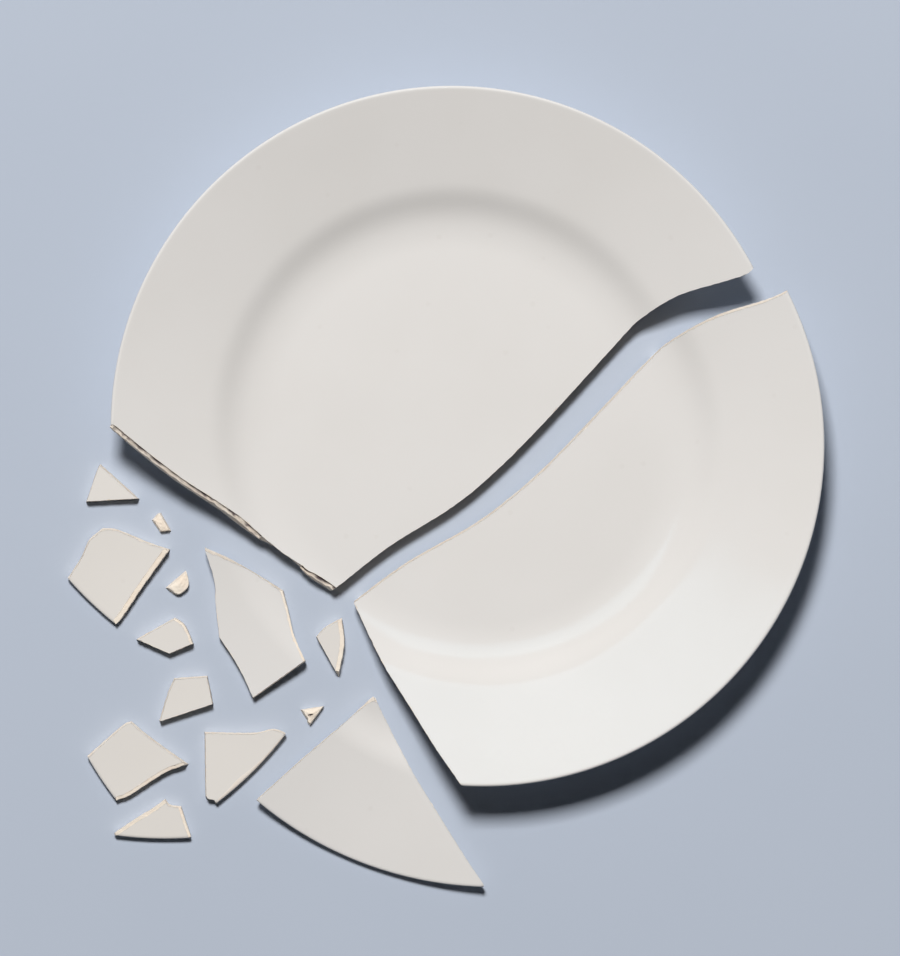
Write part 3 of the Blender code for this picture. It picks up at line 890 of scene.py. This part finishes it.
def laid_down(grid, edges, piece, node):
    """Turns a piece over its hinge and sets it down in its CAD node's place.

    Sideways, its top edge and its foot are centred in the node's box.
    """
    bearing, lean = math.radians(piece.towards), math.radians(piece.lies_over)
    towards = np.array((math.cos(bearing), math.sin(bearing), 0))
    up = np.array((0, 0, 1))
    along, height = grid @ towards, grid[..., 2]
    ahead = (math.cos(lean) - 1) * along + math.sin(lean) * height
    rise = -math.sin(lean) * along + (math.cos(lean) - 1) * height
    turned = grid + ahead[..., None] * towards + rise[..., None] * up
    rim = turned[list(edges)].reshape(-1, 3)
    low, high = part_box(node)
    place = np.array((low + high) / 2) / MM
    shift = place - (rim.max(axis=0) + rim.min(axis=0)) / 2
    shift[2] = low.z / MM - turned[..., 2].min()
    return turned + shift


def make_piece(name, piece, seed, material):
    """One fragment: its skin in its place, with its finish, riding on the one body."""
    if name in CHIPS:
        made = chip_grid(piece, PITS.get(name), seed)
    else:
        made = shard_grid(piece, piece.middle is not None, WORN_AND_LIT_LIPS.get(name, 0), seed)
    placed = laid_down(made.grid, made.edges, piece, name)
    mesh = skin(f"{name}_porcelain", placed, made.bare, made.grime)
    thing = bpy.data.objects.new(f"{name}_porcelain", mesh)
    bpy.context.scene.collection.objects.link(thing)
    mesh.materials.append(material)
    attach(thing, "root")
    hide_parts(name)


def new_group(name, inputs, outputs):
    """An empty shader node group with the given sockets, and its two end nodes."""
    group = bpy.data.node_groups.new(name, "ShaderNodeTree")
    for in_out, sockets in (("INPUT", inputs), ("OUTPUT", outputs)):
        for label, kind in sockets:
            group.interface.new_socket(label, in_out=in_out, socket_type=f"NodeSocket{kind}")
    return group, group.nodes.new("NodeGroupInput"), group.nodes.new("NodeGroupOutput")


def node(tree, kind, inputs=None, **settings):
    """Adds a node: settings are its properties, inputs are values or sockets to link."""
    made = tree.nodes.new(kind)
    for key, value in settings.items():
        setattr(made, key, value)
    for key, value in (inputs or {}).items():
        if isinstance(value, bpy.types.NodeSocket):
            tree.links.new(value, made.inputs[key])
        else:
            made.inputs[key].default_value = value
    return made


def maths(tree, operation, first, second):
    """One sum on two values or sockets."""
    return node(tree, "ShaderNodeMath", {0: first, 1: second}, operation=operation).outputs[0]


def blended(tree, share, first, second, is_colour=True):
    """A mix of two colours or values by a share."""
    kind = "RGBA" if is_colour else "FLOAT"
    low, high, out = MIX_SOCKETS[kind]
    mix = node(tree, "ShaderNodeMix", {0: share, low: first, high: second}, data_type=kind)
    return mix.outputs[out]


def ramp_between(tree, value, low, high):
    """0 below the low value, 1 above the high one, and smooth between them."""
    step = node(tree, "ShaderNodeMapRange", {0: value, 1: low, 2: high},
                interpolation_type="SMOOTHSTEP")
    return step.outputs[0]


def noise(tree, place, size, detail=3.0):
    """Even noise whose features have the given size (m)."""
    made = node(tree, "ShaderNodeTexNoise",
                {"Vector": place, "Scale": 1 / size, "Detail": detail})
    return made.outputs[0]


def cloud_group():
    """Soft clouds of one colour in another, with fine specks: for glaze, body and table."""
    group, ins, outs = new_group("clouded_colour", (
        ("Place", "Vector"), ("Main", "Color"), ("Cloud", "Color"), ("Speck", "Color"),
        ("Cloud scale", "Float"), ("Cloud share", "Float"),
        ("Speck scale", "Float"), ("Speck share", "Float"),
    ), (("Colour", "Color"),))
    given = ins.outputs
    clouds = node(group, "ShaderNodeTexNoise", {
        "Vector": given["Place"], "Scale": given["Cloud scale"], "Detail": CLOUD_DETAIL})
    share = maths(group, "MULTIPLY",
                  ramp_between(group, clouds.outputs[0], CLOUD_FROM, CLOUD_TO),
                  given["Cloud share"])
    colour = blended(group, share, given["Main"], given["Cloud"])
    cells = node(group, "ShaderNodeTexVoronoi",
                 {"Vector": given["Place"], "Scale": given["Speck scale"]})
    chosen = maths(group, "GREATER_THAN", cells.outputs["Color"], SPECK_RARITY)
    spot = maths(group, "SUBTRACT", 1.0,
                 ramp_between(group, cells.outputs[0], SPECK_FROM, SPECK_TO))
    specks = maths(group, "MULTIPLY", maths(group, "MULTIPLY", spot, chosen),
                   given["Speck share"])
    group.links.new(blended(group, specks, colour, given["Speck"]), outs.inputs["Colour"])
    return group


def clouded(tree, clouds, place, main, cloud, speck, pattern):
    """The clouded colour at a place, from its three colours and its sizes and shares."""
    made = node(tree, "ShaderNodeGroup", node_tree=clouds)
    tree.links.new(place, made.inputs["Place"])
    for key, value in {"Main": main, "Cloud": cloud, "Speck": speck, **pattern}.items():
        made.inputs[key].default_value = value
    return made.outputs["Colour"]


def fresh_material(name):
    """A node material, its tree and its Principled shader."""
    material = bpy.data.materials.new(name)
    material.use_nodes = True
    tree = material.node_tree
    return material, tree, tree.nodes["Principled BSDF"]


def porcelain(name, glaze, shade, clouds):
    """Glossy off-white glaze, and the dry cream body wherever the glaze is gone."""
    material, tree, shader = fresh_material(name)
    place = node(tree, "ShaderNodeTexCoord").outputs["Object"]
    # The bare mark shows the cream body where the glaze is gone, and along the glaze's edges it
    # also gives a painted highlight.
    bare = node(tree, "ShaderNodeAttribute", attribute_name="bare").outputs["Fac"]
    bare = ramp_between(tree, bare, BARE_FROM, BARE_TO)
    coated = clouded(tree, clouds, place, glaze, shade, GLAZE_SPECK, GLAZE_CLOUDS)
    body = clouded(tree, clouds, place, BODY, BODY_SHADE, BODY_SPECK, BODY_CLOUDS)
    # Painted shade: the body darkened towards the shade colour in the ledge corners and the
    # pit.
    grime = node(tree, "ShaderNodeAttribute", attribute_name="grime").outputs["Fac"]
    shaded_body = blended(tree, grime, body, PAINTED_SHADE)
    tree.links.new(blended(tree, bare, coated, shaded_body), shader.inputs["Base Color"])
    sheen = maths(tree, "MULTIPLY_ADD", noise(tree, place, DULLING_SIZE), GLAZE_DULLING)
    sheen.node.inputs[2].default_value = GLAZE_ROUGHNESS
    tree.links.new(blended(tree, bare, sheen, BODY_ROUGHNESS, is_colour=False),
                   shader.inputs["Roughness"])
    peel = maths(tree, "MULTIPLY", noise(tree, place, PEEL_SIZE, PEEL_DETAIL), GLAZE_PEEL)
    grain = noise(tree, place, GRAIN_SIZE, GRAIN_DETAIL)
    height = blended(tree, bare, peel, grain, is_colour=False)
    bump = node(tree, "ShaderNodeBump", {"Height": height, "Distance": GRAIN_HEIGHT,
                                         "Strength": 1.0})
    tree.links.new(bump.outputs[0], shader.inputs["Normal"])
    return material


def table_top(clouds):
    """A matt, pale blue-grey surface."""
    material, tree, shader = fresh_material("pale_table")
    place = node(tree, "ShaderNodeTexCoord").outputs["Object"]
    colour = clouded(tree, clouds, place, TABLE, TABLE_SHADE, TABLE_SHADE, TABLE_CLOUDS)
    tree.links.new(colour, shader.inputs["Base Color"])
    shader.inputs["Roughness"].default_value = TABLE_ROUGHNESS
    return material


def add_table(material):
    """A wide plain surface under the pieces."""
    mesh = bpy.data.meshes.new("table")
    half = TABLE_WIDTH / 2
    corners = [(-half, -half), (half, -half), (half, half), (-half, half)]
    mesh.from_pydata([(x, y, -TABLE_CLEARANCE) for x, y in corners], [], [(0, 1, 2, 3)])
    mesh.materials.append(material)
    table = bpy.data.objects.new("table", mesh)
    bpy.context.scene.collection.objects.link(table)


def add_soft_light(name, way, width, height, power, colour):
    """A soft light as wide and as high as given, facing the middle of the table."""
    lamp = bpy.data.lights.new(name, "AREA")
    lamp.shape = "RECTANGLE"
    lamp.size = width
    lamp.size_y = height
    lamp.energy = power
    lamp.color = colour
    thing = bpy.data.objects.new(name, lamp)
    way = Vector(way).normalized()
    thing.location = way * WINDOW_DISTANCE
    thing.rotation_euler = way.to_track_quat("Z", "Y").to_euler()
    bpy.context.scene.collection.objects.link(thing)
    return thing


def add_window():
    """One light that shades the pieces, and a wide faint one that the glaze mirrors."""
    shading = add_soft_light("window", WINDOW_WAY, WINDOW_SIZE, WINDOW_SIZE,
                             WINDOW_POWER, WINDOW_COLOUR)
    shading.visible_glossy = False
    sheen = add_soft_light("sheen", SHEEN_WAY, SHEEN_WIDTH, SHEEN_HEIGHT,
                           SHEEN_POWER, SHEEN_COLOUR)
    sheen.visible_diffuse = False


def light_the_room():
    """A pale room: dim overhead, and brighter towards the foot of its walls."""
    world = bpy.data.worlds.new("room")
    world.use_nodes = True
    tree = world.node_tree
    way = node(tree, "ShaderNodeTexCoord").outputs["Generated"]
    rise = node(tree, "ShaderNodeSeparateXYZ", {0: way}).outputs["Z"]
    overhead = ramp_between(tree, rise, 0.0, WALL_TOP)
    strength = blended(tree, overhead, WALL_STRENGTH, ROOM_STRENGTH, is_colour=False)
    background = tree.nodes["Background"]
    background.inputs["Color"].default_value = ROOM_COLOUR
    tree.links.new(strength, background.inputs["Strength"])
    scene = bpy.context.scene
    scene.world = world
    scene.view_settings.view_transform = "Standard"


def add_camera():
    """Straight above the pieces, with a long lens."""
    lens = bpy.data.cameras.new("camera")
    lens.sensor_width = SENSOR_WIDTH
    lens.lens = SENSOR_WIDTH * (CAMERA_HEIGHT - RIM_HEIGHT) / VIEW_HEIGHT
    lens.clip_end = 2 * CAMERA_HEIGHT
    camera = bpy.data.objects.new("camera", lens)
    camera.location = (*VIEW_MIDDLE, CAMERA_HEIGHT)
    bpy.context.scene.collection.objects.link(camera)
    bpy.context.scene.camera = camera


def main():
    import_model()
    add_camera()
    clouds = cloud_group()
    plate = porcelain("glazed_porcelain", GLAZE, GLAZE_SHADE, clouds)
    creamy = porcelain("creamy_porcelain", SHARD_GLAZE, SHARD_GLAZE_SHADE, clouds)
    for order, (name, piece) in enumerate(PIECES.items()):
        make_piece(name, piece, order * SEED_STEP, plate if name in LARGEST else creamy)
    add_table(table_top(clouds))
    add_window()
    light_the_room()
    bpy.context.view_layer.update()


main()
